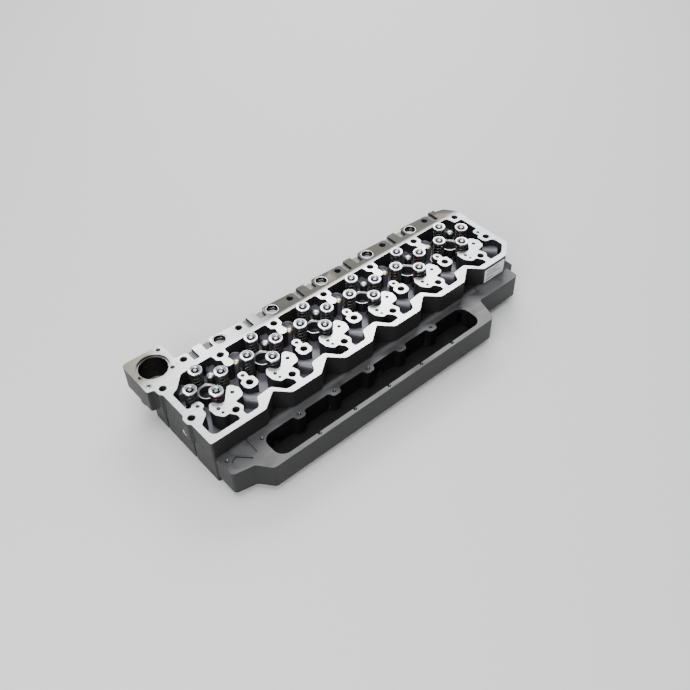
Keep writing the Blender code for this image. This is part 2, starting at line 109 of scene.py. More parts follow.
PORT_RADIUS = 14.0
EXHAUST_RUN_RADIUS = 9.5
PUSH_RODS = ((50, -89.5), (85.5, -90.5))
PUSH_ROD_RADIUS = 7.2

# Screw holes, placed in X after a cylinder's first plane; their depths and radii
ROCKER_SCREWS = ((45, -57.5), (84, -43))
KEYHOLE_SCREW_Y = -23.5
FRONT_SCREW = (22, -30)
COVER_SCREWS = ((-16, 91), (40, 75.5), (44, 129))
LEDGE_SCREW = (6.2, -128)
MANIFOLD_SCREWS = ((PORT_X, 84), (PORT_X - 20, 9.5))
ROCKER_THREAD = (22, 3.2)
COVER_THREAD = (18, 3.6)
PLENUM_THREAD = (16, 3.1)
MANIFOLD_THREAD = (20, 4.1)
THREAD_LEAD = 1.25
THREAD_ROOT, THREAD_CREST = 0.25, 0.45
DOWEL_HOLE = (46, -69.5)
DOWEL_DEPTH, DOWEL_RADIUS = 9, 2.4

# Fineness, and how far a cutter reaches past a face
PAST = 2.0
ARC = math.radians(13)
ROUND = 40
SMALL_ROUND = 20
BIG_ROUND = 72

# Sizes of the visual pieces
GUIDE_RADIUS = 5.8
ARCH = [(0, -20), (12.8, -20), (12.4, -2.2), (11.5, -0.6), (10.3, 0), (9.1, -0.6), (8.2, -2.4), (7.4, -3.4),
        (0, -3.4)]
ARCHES = ((26.0, 38.0, 88.0), (100.0, 44.0, 86.0))
SPRING_SEAT = [(0, 64), (17.2, 64), (16.4, 69.2), (15.6, 70.2), (14.2, 70.2), (13.5, 69.4), (13.5, FLOOR_Z),
               (0, FLOOR_Z)]
INJECTOR_BORE = [(0, DECK_Z), (17, DECK_Z), (17, BOSS_Z - 0.4), (16.4, BOSS_Z - 0.4), (14.5, BOSS_Z - 2.2),
                 (14.5, 70), (8, 60), (8, 30), (4.5, 26), (4.5, -PAST), (0, -PAST)]
SLOTS = ((78, 92), (108, 125))
SPRING_TURNS = 7.3
WIRE_RADIUS = 2.0
SPRING_RADIUS = 10.2
SPRING_LOW = 69.5
SPRING_HIGH = 115.4
LABEL_X = (644, 701)
LABEL_Z = (DECK_Z - 39, DECK_Z - 7)
LABEL_BARS = ((0.80, 0.10, 0.62), (0.62, 0.10, 0.50), (0.44, 0.10, 0.72), (0.18, 0.10, 0.34))
CAMERA_PLACE = (-0.73612, -0.89558, 1.16766)
CAMERA_RIGHT = (0.75392, -0.65667, -0.01978)
CAMERA_UP = (0.47680, 0.52619, 0.70412)
LENS = 43.59


def along(plane, x):
    """X of a place x after a plane, from the head's middle plane, in millimetres."""
    return (plane - CYLINDERS / 2) * PITCH + x


def cylinders():
    return range(CYLINDERS)


def inner_planes():
    return range(1, CYLINDERS)


# Socket plugs: outer end, inner end and radius
SOCKET_PLUGS = {
    "front_gallery_plug": ((along(0, -6), -20, 50), (along(0, 6), -20, 50), 7),
    "rear_gallery_plug": ((along(CYLINDERS, 15), -20, 50), (along(CYLINDERS, 3), -20, 50), 7),
    "coolant_port_plug": ((along(0, -15), 65, DECK_Z), (along(0, -15), 65, DECK_Z - 12), 6),
}


# Outlines: lists of corners (x, y, corner radius), the same as the model's


def shifted(corners, plane):
    return [(along(plane, x), y, radius) for x, y, radius in corners]


def deck_outline():
    corners = shifted([(-8, WALL_Y, 4)], 0)
    for k in inner_planes():
        corners += shifted([(-16, WALL_Y, 7), (17, -87, 4), (41, WALL_Y, 12)], k)
    corners += shifted([(-15, WALL_Y, 8), (17, -86, 8), (18, 26, 3), (20.5, 32, 3), (20, 56, 10)], CYLINDERS)
    corners += shifted([(2, 80, 8), (-20, 86, 6), (-28, EXHAUST_Y, 4)], CYLINDERS)
    for k in reversed(cylinders()):
        if k < CYLINDERS - 1:
            corners += shifted([(126, EXHAUST_Y, 7), (124, 70, 2), (109, 70, 2), (109, EXHAUST_Y, 1)], k)
        corners += shifted([(91, EXHAUST_Y, 1), (91, 64, 2), (78.5, 64, 2), (78.5, 89, 6)], k)
    corners += shifted([(54.5, 91, 6), (54.5, 138, 7), (-26, 140, 9), (-26, 53, 4)], 0)
    return corners + shifted([(-13, 50, 5), (-13, 36, 6), (-8, 30, 3), (-8, -31, 3), (-13, -37, 6),
                              (-13, -51, 6), (-8, -57, 3)], 0)


PEDESTAL = [(60.5, BOX_Y, 4), (60.5, -90, 3), (53, -78.5, 5), (42, -79, 7), (33, -66, 8), (32, -50, 8),
            (42, -34, 7), (58, -57, 9), (88.5, -21, 7), (99.5, -42, 9), (95, -60.5, 9), (75.5, -63, 3),
            (81, -80, 8), (73, -90, 4), (73, BOX_Y, 4)]
WALL_STEP = [(-21, BOX_Y, 10), (-11, -80, 6), (20, -77, 9), (39, BOX_Y, 10)]
PENINSULA = [(13.5, BOX_EXHAUST_Y, 4), (13, 36, 4), (6.5, 31, 3), (10.5, 10.5, 8), (-10.5, 10.5, 8),
             (-6.5, 31, 3), (-13, 36, 4), (-14.5, BOX_EXHAUST_Y, 4)]
BOX_FRONT = [(42, BOX_EXHAUST_Y, 10), (17, 26.5, 8), (4.5, 21, 6), (4.5, -24, 6), (12, -25.5, 2),
             (16, -20, 6), (30, -20, 8), (32, -35, 6), (24, -41, 4), (24, -53, 10), (4.5, -68, 7),
             (4.5, BOX_Y, 12)]
BOX_REAR = [(-17, BOX_Y, 14), (5, -84, 8), (5, -58, 9), (-14, -55, 9), (-15, -34, 6), (-7.5, -31, 2),
            (-11, -14.5, 8), (5, -13.5, 2), (5, 30, 4), (-13, 30, 5), (-17, BOX_EXHAUST_Y, 7)]
KEYHOLE = [(13.5, -35, 9), (6.5, -33, 3), (9.5, -14.5, 9), (-9.5, -14.5, 9), (-6.5, -33, 3), (-13.5, -35, 9),
           (-13.5, -57.5, 13), (13.5, -57.5, 13)]


def rocker_box_outline():
    corners = []
    for k in cylinders():
        corners += shifted(PEDESTAL, k)
        if k < CYLINDERS - 1:
            corners += shifted(WALL_STEP, k + 1)
    corners += shifted(BOX_REAR, CYLINDERS)
    for k in reversed(inner_planes()):
        corners += shifted(PENINSULA, k)
    return corners + shifted(BOX_FRONT, 0)


def plenum_opening_outline():
    inner, outer = OPENING_Y
    corners = [(along(0, OPENING_X[0]), outer, 20), (along(0, OPENING_X[1]), outer, 20),
               (along(0, OPENING_X[1]), inner, 20)]
    lug = [(12, inner, 5), (9, inner - 11, 8), (-9, inner - 11, 8), (-12, inner, 5)]
    for i in reversed(range(1, PLENUM_BOLTS - 1)):
        at = PLENUM_BOLT_FIRST + i * PLENUM_BOLT_PITCH
        corners += [(along(0, at + x), y, radius) for x, y, radius in lug]
    return corners + [(along(0, OPENING_X[0]), inner, 20)]


def lower_block_outline():
    low_y, high_y = WALL_Y + 2, EXHAUST_Y - 4
    return (shifted([(-6, low_y, 4)], 0) + shifted([(15, low_y, 4), (15, high_y, 4)], CYLINDERS)
            + shifted([(-6, high_y, 4)], 0))


def ledge_outline():
    return (shifted([(-4, WALL_Y + 6, 0), (-4, -158, 8), (36, -166, 10), (56, -192, 12)], 0)
            + shifted([(-14, -192, 12), (2, -140, 8), (116, -140, 8), (116, WALL_Y + 6, 0)], CYLINDERS - 1))


def box_outline(low_x, high_x, low_y, high_y, radius=0):
    corners = ((low_x, low_y), (high_x, low_y), (high_x, high_y), (low_x, high_y))
    return [(*corner, radius) for corner in corners]


# Shape makers


def rounded(corners):
    """The closed outline's points in metres, with an arc at each corner that has a radius."""
    points = []
    for i, (x, y, radius) in enumerate(corners):
        corner = Vector((x, y))
        before = Vector(corners[i - 1][:2]) - corner
        after = Vector(corners[(i + 1) % len(corners)][:2]) - corner
        if radius == 0:
            points.append(corner * MM)
            continue
        half = before.angle(after) / 2
        reach = min(radius / math.tan(half), 0.48 * before.length, 0.48 * after.length)
        middle = (before.normalized() + after.normalized()).normalized()
        centre = corner + middle * reach / math.cos(half)
        first = corner + before.normalized() * reach - centre
        last = corner + after.normalized() * reach - centre
        turn = math.atan2(first.x * last.y - first.y * last.x, first.dot(last))
        steps = max(2, math.ceil(abs(turn) / ARC))
        for step in range(steps + 1):
            spoke = first.copy()
            spoke.rotate(Matrix.Rotation(turn * step / steps, 2))
            points.append((centre + spoke) * MM)
    return points


def add_mesh(name, mesh, material):
    made = bpy.data.objects.new(name, mesh)
    bpy.context.scene.collection.objects.link(made)
    if material:
        mesh.materials.append(material)
    return made


def evaluated_copy(source):
    bpy.context.view_layer.update()
    graph = bpy.context.evaluated_depsgraph_get()
    return bpy.data.meshes.new_from_object(source.evaluated_get(graph))


def mesh_of_curve(name, curve, material):
    """A mesh object of the curve's shape, with its caps welded on."""
    source = bpy.data.objects.new(name, curve)
    bpy.context.scene.collection.objects.link(source)
    mesh = evaluated_copy(source)
    bpy.data.objects.remove(source)
    shape = bmesh.new()
    shape.from_mesh(mesh)
    bmesh.ops.remove_doubles(shape, verts=shape.verts, dist=2e-6)
    bmesh.ops.recalc_face_normals(shape, faces=shape.faces)
    shape.to_mesh(mesh)
    shape.free()
    mesh.materials.clear()
    return add_mesh(name, mesh, material)


def plate(name, outlines, low, high, material=None):
    """A flat solid from height low to high, in millimetres. Outlines inside the first one are holes."""
    curve = bpy.data.curves.new(name, "CURVE")
    curve.dimensions = "2D"
    curve.fill_mode = "BOTH"
    curve.extrude = (high - low) / 2 * MM
    for outline in outlines:
        points = rounded(outline)
        spline = curve.splines.new("POLY")
        spline.points.add(len(points) - 1)
        for point, place in zip(spline.points, points):
            point.co = (place.x, place.y, 0, 1)
        spline.use_cyclic_u = True
    made = mesh_of_curve(name, curve, material)
    made.data.transform(Matrix.Translation((0, 0, (low + high) / 2 * MM)))
    return made


def rod(name, start, end, radius, material=None, sides=SMALL_ROUND, end_radius=None):
    """A straight cylinder or cone between two points, in millimetres."""
    first, last = Vector(start) * MM, Vector(end) * MM
    end_radius = radius if end_radius is None else end_radius
    mesh = bpy.data.meshes.new(name)
    shape = bmesh.new()
    bmesh.ops.create_cone(shape, cap_ends=True, segments=sides, radius1=radius * MM, radius2=end_radius * MM,
                          depth=(last - first).length)
    turn = Vector((0, 0, 1)).rotation_difference(last - first).to_matrix().to_4x4()
    shape.transform(Matrix.Translation((first + last) / 2) @ turn)
    shape.to_mesh(mesh)
    shape.free()
    return add_mesh(name, mesh, material)


def upright(name, x, y, low, high, radius, material=None, sides=SMALL_ROUND, end_radius=None):
    return rod(name, (x, y, low), (x, y, high), radius, material, sides, end_radius)


def turned_mesh(name, profile, sides=ROUND, sweep=2 * math.pi, start=0.0):
    """A mesh turned about Z from (radius, height) points in millimetres. A part turn's ends are capped."""
    mesh = bpy.data.meshes.new(name)
    shape = bmesh.new()
    whole = sweep > 2 * math.pi - 1e-6
    rings = []
    for i in range(sides if whole else sides + 1):
        angle = start + sweep * i / sides
        ring = []
        for radius, height in profile:
            place = (radius * math.cos(angle) * MM, radius * math.sin(angle) * MM, height * MM)
            ring.append(shape.verts.new(place))
        rings.append(ring)
    count = len(rings)
    for i in range(count if whole else count - 1):
        here, following = rings[i], rings[(i + 1) % count]
        for j in range(len(profile) if not whole or profile[0][0] > 0 else len(profile) - 1):
            k = (j + 1) % len(profile)
            shape.faces.new((here[j], here[k], following[k], following[j]))
    if not whole:
        shape.faces.new(rings[0])
        shape.faces.new(reversed(rings[-1]))
    bmesh.ops.remove_doubles(shape, verts=shape.verts, dist=1e-7)
    bmesh.ops.dissolve_degenerate(shape, edges=shape.edges, dist=1e-7)
    bmesh.ops.recalc_face_normals(shape, faces=shape.faces)
    shape.to_mesh(mesh)
    shape.free()
    return mesh


def smooth(piece, angle=32):
    piece.data.shade_smooth()
    piece.data.set_sharp_from_angle(angle=math.radians(angle))
    return piece


def finish_piece(piece, body, slot, *nodes):
    """Puts a finished piece on its body and hides the CAD nodes that it stands for. The slot argument is not
    used.
    """
    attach(piece, body)
    if nodes:
        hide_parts(*nodes)
    return piece


def merge(base, operation, tools):
    """Joins or cuts the base with all of the tools, then removes them."""
    group = bpy.data.collections.new("tools")
    bpy.context.scene.collection.children.link(group)
    for tool in tools:
        group.objects.link(tool)
    modifier = base.modifiers.new("merge", "BOOLEAN")
    modifier.operation = operation
    modifier.operand_type = "COLLECTION"
    modifier.collection = group
    modifier.solver = "MANIFOLD"
    modifier.material_mode = "TRANSFER"
    mesh = evaluated_copy(base)
    base.modifiers.clear()
    base.data = mesh
    for tool in tools:
        bpy.data.objects.remove(tool)
    bpy.data.collections.remove(group)


# Materials


class Finish:
    """A Principled material with helpers that wire procedural detail into it, all in object coordinates."""

    def __init__(self, name, colour, roughness, metallic=0.0, **sockets):
        self.material = bpy.data.materials.new(name)
        self.material.use_nodes = True
        self.tree = self.material.node_tree
        self.shader = self.tree.nodes["Principled BSDF"]
        self.shader.inputs["Base Color"].default_value = (*colour, 1)
        self.shader.inputs["Roughness"].default_value = roughness
        self.shader.inputs["Metallic"].default_value = metallic
        for socket, value in sockets.items():
            self.shader.inputs[socket.replace("_", " ")].default_value = value
        self.place = self.tree.nodes.new("ShaderNodeTexCoord").outputs["Object"]
        self.height = None

    def node(self, kind, **inputs):
        made = self.tree.nodes.new(kind)
        for name, value in inputs.items():
            socket = made.inputs[name.replace("_", " ")]
            if isinstance(value, bpy.types.NodeSocket):
                self.tree.links.new(value, socket)
            else:
                socket.default_value = value
        return made

    def stretched(self, scale):
        return self.node("ShaderNodeMapping", Vector=self.place, Scale=scale).outputs["Vector"]

    def noise(self, scale, detail=3.0, stretch=None, distortion=0.0):
        place = self.stretched(stretch) if stretch else self.place
        return self.node("ShaderNodeTexNoise", Vector=place, Scale=scale, Detail=detail,
                         Distortion=distortion).outputs["Fac"]

    def ramp(self, value, low, high):
        """0 where value is at low or below, 1 at high or above."""
        return self.node("ShaderNodeMapRange", Value=value, From_Min=low, From_Max=high).outputs["Result"]

    def product(self, first, second):
        made = self.tree.nodes.new("ShaderNodeMath")
        made.operation = "MULTIPLY"
        self.tree.links.new(first, made.inputs[0])
        self.tree.links.new(second, made.inputs[1])
        return made.outputs["Value"]

    def blend(self, value, other, where=None):
        """Colour changes to other where value is 1, and only as far as where allows."""
        if where:
            value = self.product(value, where)
        mix = self.tree.nodes.new("ShaderNodeMix")
        mix.data_type = "RGBA"
        source = self.shader.inputs["Base Color"]
        if source.is_linked:
            self.tree.links.new(source.links[0].from_socket, mix.inputs[6])
        else:
            mix.inputs[6].default_value = source.default_value
        mix.inputs[7].default_value = (*other, 1)
        self.tree.links.new(value, mix.inputs[0])
        self.tree.links.new(mix.outputs[2], source)
        return self

    def vary_roughness(self, value, low, high):
        result = self.node("ShaderNodeMapRange", Value=value, To_Min=low, To_Max=high).outputs["Result"]
        self.tree.links.new(result, self.shader.inputs["Roughness"])
        return self

    def bump(self, value, distance, strength=1.0):
        """Adds relief of that depth, in metres."""
        made = self.node("ShaderNodeBump", Height=value, Distance=distance, Strength=strength)
        if self.height:
            self.tree.links.new(self.height, made.inputs["Normal"])
        self.height = made.outputs["Normal"]
        self.tree.links.new(self.height, self.shader.inputs["Normal"])
        return self


def machined(name, tone, roughness, streak, stain=(0.30, 0.27, 0.24), stain_from=0.60):
    """A milled iron face: fine streaks along one way, faint stains and a slight grain."""
    made = Finish(name, tone, roughness, 0.92)
    lines = made.noise(260, 4, stretch=streak)
    cloud = made.noise(14, 5, distortion=0.4)
    made.blend(made.ramp(lines, 0.42, 0.75), tuple(0.82 * c for c in tone))
    made.blend(made.ramp(cloud, stain_from, 0.95), stain)
    made.vary_roughness(made.noise(60, 4, stretch=streak), roughness - 0.09, roughness + 0.13)
    made.bump(lines, 0.00006, 0.5)
    return made.material


def cast(name, tone, roughness, metallic, grain=0.00035, patch=(0.018, 0.017, 0.018), patch_from=0.58,
         **sockets):
    """A sand-cast skin: coarse and fine grain, small pits and cloudy patches."""
    made = Finish(name, tone, roughness, metallic, **sockets)
    coarse = made.noise(420, 5)
    fine = made.noise(1500, 2)
    pits = made.node("ShaderNodeTexVoronoi", Vector=made.place, Scale=330.0).outputs["Distance"]
    made.blend(made.ramp(made.noise(30, 4, distortion=0.6), patch_from, 0.85), patch)
    made.blend(made.ramp(coarse, 0.58, 0.8), tuple(min(1, 1.5 * c) for c in tone))
    made.vary_roughness(coarse, roughness - 0.12, roughness + 0.16)
    made.bump(made.ramp(pits, 0.0, 0.35), grain * 0.6, 0.5)
    made.bump(coarse, grain, 0.7)
    made.bump(fine, grain * 0.3, 0.5)
    return made.material


def steel(name, tone, roughness, grain=0.00002, stain=None):
    """Turned or ground steel: fine mottling, and faint stains if asked for."""
    made = Finish(name, tone, roughness, 1.0)
    mottle = made.noise(700, 3)
    made.blend(made.ramp(made.noise(90, 4), 0.5, 0.8), tuple(0.8 * c for c in tone))
    if stain:
        made.blend(made.ramp(made.noise(45, 4, distortion=1.0), 0.60, 0.85), stain)
    made.vary_roughness(mottle, roughness * 0.7, roughness * 1.4)
    made.bump(mottle, grain, 0.4)
    return made.material


def spring_steel():
    """Dark oiled spring wire, with dabs of maroon marking paint near the top of some coils."""
    made = Finish("spring_wire", (0.075, 0.072, 0.068), 0.2, 0.95)
    made.blend(made.ramp(made.noise(160, 4), 0.55, 0.8), (0.035, 0.033, 0.03))
    parts = made.node("ShaderNodeSeparateXYZ", Vector=made.place).outputs
    near_top = made.ramp(parts["Z"], 0.102, 0.103)
    made.blend(made.ramp(made.noise(48, 2), 0.60, 0.66), (0.085, 0.016, 0.028), near_top)
    made.vary_roughness(made.noise(500, 3), 0.16, 0.38)
    made.bump(made.noise(900, 3), 0.00003, 0.5)
    return made.material


def rubber(name, tone):
    made = Finish(name, tone, 0.6)
    made.blend(made.ramp(made.noise(220, 4), 0.5, 0.8), tuple(1.6 * c for c in tone))
    made.vary_roughness(made.noise(400, 3), 0.45, 0.75)
    made.bump(made.noise(1100, 2), 0.00004, 0.5)
    return made.material


def label_paper():
    made = Finish("label_paper", (0.82, 0.83, 0.84), 0.45)
    made.blend(made.ramp(made.noise(70, 4), 0.55, 0.85), (0.70, 0.70, 0.69))
    made.vary_roughness(made.noise(300, 3), 0.35, 0.6)
    made.bump(made.noise(1500, 2), 0.00001, 0.4)
    return made.material


def label_ink():
    made = Finish("label_ink", (0.10, 0.10, 0.11), 0.5)
    made.blend(made.ramp(made.noise(500, 3), 0.5, 0.8), (0.2, 0.2, 0.21))
    made.vary_roughness(made.noise(300, 3), 0.4, 0.6)
    return made.material


def milled_deck():
    """The deck: bright at the front of the intake side, darker to the rear and on the exhaust side by painted
    shade.
    """
    made = Finish("milled_deck", (0.95, 0.955, 0.965), 0.32, 0.92)
    lines = made.noise(260, 4, stretch=(0.06, 1.6, 1.0))
    cloud = made.noise(14, 5, distortion=0.4)
    place = made.node("ShaderNodeSeparateXYZ", Vector=made.place).outputs
    made.blend(made.ramp(lines, 0.42, 0.75), (0.78, 0.785, 0.80))
    # Painted shade: the deck's colour darkens towards the rear.
    made.blend(made.ramp(place["X"], 0.08, 0.50), (0.24, 0.25, 0.28))
    # Painted shade: a near-black band along the exhaust edge of the deck, fading in towards the front.
    strip = made.product(made.ramp(place["Y"], 0.046, 0.060), made.ramp(place["X"], -0.26, -0.10))
    made.blend(strip, (0.034, 0.033, 0.029))
    flange = made.product(made.ramp(place["Y"], 0.060, 0.085), made.ramp(place["X"], -0.30, -0.34))
    made.blend(flange, (0.36, 0.34, 0.29))
    made.blend(made.ramp(cloud, 0.62, 0.95), (0.30, 0.27, 0.24))
    made.vary_roughness(made.noise(60, 4, stretch=(0.06, 1.6, 1.0)), 0.22, 0.44)
    made.bump(lines, 0.00006, 0.5)
    return made.material


EVEN = (1.0, 1.0, 1.0)
FINISHES = {
    "deck": milled_deck(),
    "fire_face": machined("ground_fire_face", (0.62, 0.62, 0.63), 0.30, (0.05, 1.4, 1.0)),
    "ledge": machined("milled_ledge", (0.17, 0.168, 0.17), 0.46, (0.08, 1.2, 1.0), (0.05, 0.045, 0.045),
                      0.48),
    "side": machined("milled_side", (0.56, 0.56, 0.57), 0.36, (1.0, 1.0, 0.08)),
    "bore": machined("bored_iron", (0.22, 0.22, 0.23), 0.38, (1.0, 1.0, 5.0)),
    "bowl": machined("bored_bowl", (0.055, 0.055, 0.06), 0.26, (1.0, 1.0, 5.0), (0.10, 0.07, 0.035),
                     0.62),
    "seat_rim": machined("milled_spring_seat", (0.52, 0.52, 0.55), 0.32, EVEN, (0.2, 0.19, 0.2), 0.60),
    "panel": cast("ledge_cast_iron", (0.13, 0.13, 0.135), 0.42, 0.4, 0.0003, (0.05, 0.05, 0.052), 0.55),
    "slot": cast("slot_cast_iron", (0.20, 0.205, 0.20), 0.45, 0.5, 0.0003, (0.16, 0.15, 0.11), 0.55),
    # Near-black plenum iron: painted shade for the deep plenum slot, which the lamps would otherwise light.
    "plenum": cast("painted_shade_plenum_iron", (0.006, 0.006, 0.0065), 0.50, 0.0, Specular_IOR_Level=0.25),
    "boss": machined("milled_boss", (0.86, 0.86, 0.85), 0.30, EVEN, (0.60, 0.58, 0.52), 0.62),
    "pillar_top": machined("pale_pillar_top", (0.80, 0.82, 0.74), 0.30, EVEN, (0.50, 0.52, 0.42), 0.62),
    "pillar_brass": machined("straw_pillar_top", (0.86, 0.78, 0.46), 0.30, EVEN, (0.62, 0.52, 0.24), 0.60),
    "wall": cast("black_coated_cast_iron", (0.014, 0.014, 0.0145), 0.46, 0.0, Specular_IOR_Level=0.32),
    "floor": cast("bare_cast_iron", (0.22, 0.218, 0.245), 0.42, 0.55, 0.0003, (0.10, 0.096, 0.105), 0.58),
    # Near-black iron for the walls of the hollows, bores and passages: painted shade on the same iron as the
    # grey floor.
    "inner": cast("shaded_inner_cast_iron", (0.022, 0.022, 0.024), 0.44, 0.2, 0.0004, (0.012, 0.012, 0.012), 0.55),
    "thread": steel("tapped_iron", (0.10, 0.115, 0.15), 0.28),
    "retainer": steel("turned_retainer_steel", (0.66, 0.67, 0.71), 0.20),
    "stem": steel("ground_stem_steel", (0.28, 0.28, 0.30), 0.18),
    "collet": steel("dark_collet_steel", (0.012, 0.011, 0.013), 0.42),
    "seat": steel("seat_insert_alloy", (0.66, 0.65, 0.63), 0.24),
    "guide": steel("guide_iron", (0.30, 0.28, 0.26), 0.38),
    "washer": steel("hardened_seat_washer", (0.24, 0.24, 0.25), 0.34),
    "plug": steel("plated_plug_steel", (0.78, 0.79, 0.82), 0.20, 0.00003, (0.45, 0.43, 0.38)),
    "cup": steel("dull_cup_steel", (0.09, 0.088, 0.085), 0.16, 0.00003, (0.5, 0.5, 0.52)),
    "spring": spring_steel(),
    "seal": rubber("seal_rubber", (0.025, 0.035, 0.028)),
    "paper": label_paper(),
    "ink": label_ink(),
}


# The casting


def two_tone(piece, side, flat, direction=(0, 0, 1), least=0.7):
    """Gives the piece the side finish, and the flat finish where its faces point along the direction."""
    piece.data.materials.clear()
    for name in (side, flat):
        piece.data.materials.append(FINISHES[name])
    way = Vector(direction)
    for face in piece.data.polygons:
        face.material_index = 1 if face.normal.dot(way) > least else 0
    return piece


def bar(name, low_x, high_x, low_y, high_y, low_z, high_z, radius=0):
    return plate(name, [box_outline(low_x, high_x, low_y, high_y, radius)], low_z, high_z)


def placed_turned(name, profile, x, y, material=None, sides=ROUND):
    made = add_mesh(name, turned_mesh(name, profile, sides), material)
    made.data.transform(Matrix.Translation((x * MM, y * MM, 0)))
    return made


def slot_floors():
    """The cast floors of the slots between the deck's lugs on the exhaust side, a little below the deck."""
    floors = []
    for k in cylinders():
        for low_x, high_x in SLOTS if k < CYLINDERS - 1 else SLOTS[:1]:
            slab = bar("slot_floor", along(k, low_x), along(k, high_x), 60, EXHAUST_Y - 1.5, 78, SLOT_FLOOR_Z)
            floors.append(two_tone(slab, "wall", "slot"))
    return floors


def outer_shapes():
    """Everything that is joined to the lower block to make the casting's outside."""
    x, y = THERMOSTAT
    wall = THERMOSTAT_RADIUS + 9
    shapes = [two_tone(plate("upper_block", [deck_outline()], LEDGE_Z - 8, DECK_Z), "wall", "deck"),
              two_tone(plate("intake_ledge", [ledge_outline()], PLENUM_LOW_Z, LEDGE_Z), "wall", "ledge"),
              upright("bowl_wall", along(0, x), y, 34, DECK_Z - 8, wall, FINISHES["wall"], ROUND)]
    for k in cylinders():
        port = along(k, PORT_X)
        flange = bar("exhaust_flange", port - FLANGE_HALF, port + FLANGE_HALF, 70, EXHAUST_FACE_Y, 4,
                     PORT_Z + 24)
        lug = bar("exhaust_lug", port - 8.5, port + 7.5, 60, EXHAUST_FACE_Y, 50, LUG_Z)
        shapes += [two_tone(flange, "wall", "side", (0, 1, 0)), two_tone(lug, "wall", "side", (0, 1, 0))]
    return shapes + slot_floors()


def circle(x, y, radius):
    turns = [0.03 + 2 * math.pi * i / ROUND for i in range(ROUND)]
    return [(x + radius * math.cos(turn), y + radius * math.sin(turn), 0) for turn in turns]


def hollows():
    """The rocker box, with what stands in it left whole, and the plenum."""
    down = (0, 0, -1)
    islands = [shifted(KEYHOLE, k) for k in inner_planes()]
    tops = []
    for k in cylinders():
        x = along(k, CENTRE_X)
        islands += [circle(x, 0, BOSS_RADIUS), circle(x + PILLAR[0], PILLAR[1], PILLAR_RADIUS)]
        high = DECK_Z + PAST
        tops.append(upright("boss_top", x, 0, BOSS_Z, high, BOSS_RADIUS + 1, FINISHES["boss"], ROUND))
        tops.append(upright("pillar_top", x + PILLAR[0], PILLAR[1], PILLAR_Z - 3, high, PILLAR_RADIUS + 1,
                            FINISHES["floor"], ROUND))
    box = plate("rocker_box", [rocker_box_outline(), *islands], FLOOR_Z, DECK_Z + PAST)
    # The plenum's slot and tail take the near-black plenum iron: painted shade.
    slot = plate("plenum_slot", [plenum_opening_outline()], PLENUM_FLOOR_Z, LEDGE_Z + PAST)
    tail = bar("plenum_tail", along(0, OPENING_X[1] - 12), along(CYLINDERS, -7), OPENING_Y[0] - 8,
               OPENING_Y[0] + 10, PLENUM_FLOOR_Z + 2, LEDGE_Z - 10)
    # The rocker box's walls take the near-black inner iron, painted shade, and its floors the grey iron.
    return [two_tone(box, "inner", "floor", down), two_tone(slot, "plenum", "plenum", down),
            two_tone(tail, "plenum", "plenum", down), *tops]


def inner_details():
    """Pillars with domed tops, spring seats, and the cast roofs and arches between the valves and the wall.
    """
    shapes = []
    for k in cylinders():
        x = along(k, CENTRE_X) + PILLAR[0]
        shapes.append(dome(x, PILLAR[1], PILLAR_RADIUS - 0.02, PILLAR_Z - 6))
        for x, y, top in ARCHES:
            profile = [(radius, top + height) for radius, height in ARCH]
            shapes.append(placed_turned("arch", profile, along(k, x), y, FINISHES["floor"], BIG_ROUND))
        for _, _, dx, dy in VALVES:
            seat = placed_turned("spring_seat", SPRING_SEAT, along(k, CENTRE_X) + dx, dy, sides=BIG_ROUND)
            shapes.append(two_tone(seat, "floor", "seat_rim"))
        shapes += port_roof(k)
    for k in inner_planes():
        x, y = PLANE_PILLAR
        shapes.append(dome(along(k, x), y, PILLAR_RADIUS - 0.5, FLOOR_Z - 4, "pillar_brass"))
    return shapes


def port_roof(k):
    """The humped roof of an intake port, a half cylinder on a straight block, at 45 degrees to the wall."""
    x, y = ROOF_START
    reach = ROOF_REACH if k < CYLINDERS - 1 else ROOF_REACH - 6
    start = Vector((along(k, x), y, ROOF_AXIS_Z))
    end = Vector((along(k, x) + reach, y - reach, ROOF_AXIS_Z))
    half = (end - start).length / 2
    block = bar("roof_block", -half, half, -ROOF_RADIUS, ROOF_RADIUS, FLOOR_Z - 5, ROOF_AXIS_Z)
    middle = (start + end) / 2
    turn = Matrix.Rotation(-QUARTER / 2, 4, "Z")
    block.data.transform(Matrix.Translation((middle.x * MM, middle.y * MM, 0)) @ turn)
    block.data.materials.append(FINISHES["floor"])
    return [rod("port_roof", start, end, ROOF_RADIUS, FINISHES["floor"], BIG_ROUND), block]


def dome(x, y, radius, low, top="pillar_top"):
    """A round pillar with a domed, machined top."""
    high = PILLAR_Z
    profile = [(0, low), (radius, low), (radius, high - 2.2)]
    profile += [(radius * math.cos(turn), high - 2.2 + 3.4 * math.sin(turn))
                for turn in [QUARTER * i / 6 for i in range(1, 6)]] + [(0, high + 1.2)]
    return two_tone(placed_turned("pillar", profile, x, y), "floor", top, least=0.35)


def drilled(name, x, y, low, high, radius, chamfer=0.8, finish="bore", sides=SMALL_ROUND * 2):
    """A hole from low up through the face at height high, with a chamfered mouth."""
    profile = [(0, low), (radius, low), (radius, high - chamfer), (radius + chamfer + PAST, high + PAST),
               (0, high + PAST)]
    return placed_turned(name, profile, x, y, FINISHES[finish], sides)


def tapped(name, x, y, high, depth, radius):
    """A tapped hole down from the face at height high: a chamfered mouth, thread crests and a drill point."""
    crest, root = radius - THREAD_CREST, radius + THREAD_ROOT
    profile = [(0, high - depth - radius * 0.55), (crest, high - depth)]
    for i in range(int((depth - 2) / THREAD_LEAD)):
        level = high - depth + 1 + i * THREAD_LEAD
        profile += [(crest, level), (root, level + THREAD_LEAD / 2)]
    profile += [(crest, high - 1), (radius + 0.6 + PAST, high + PAST), (0, high + PAST)]
    return placed_turned(name, profile, x, y, FINISHES["thread"], SMALL_ROUND)


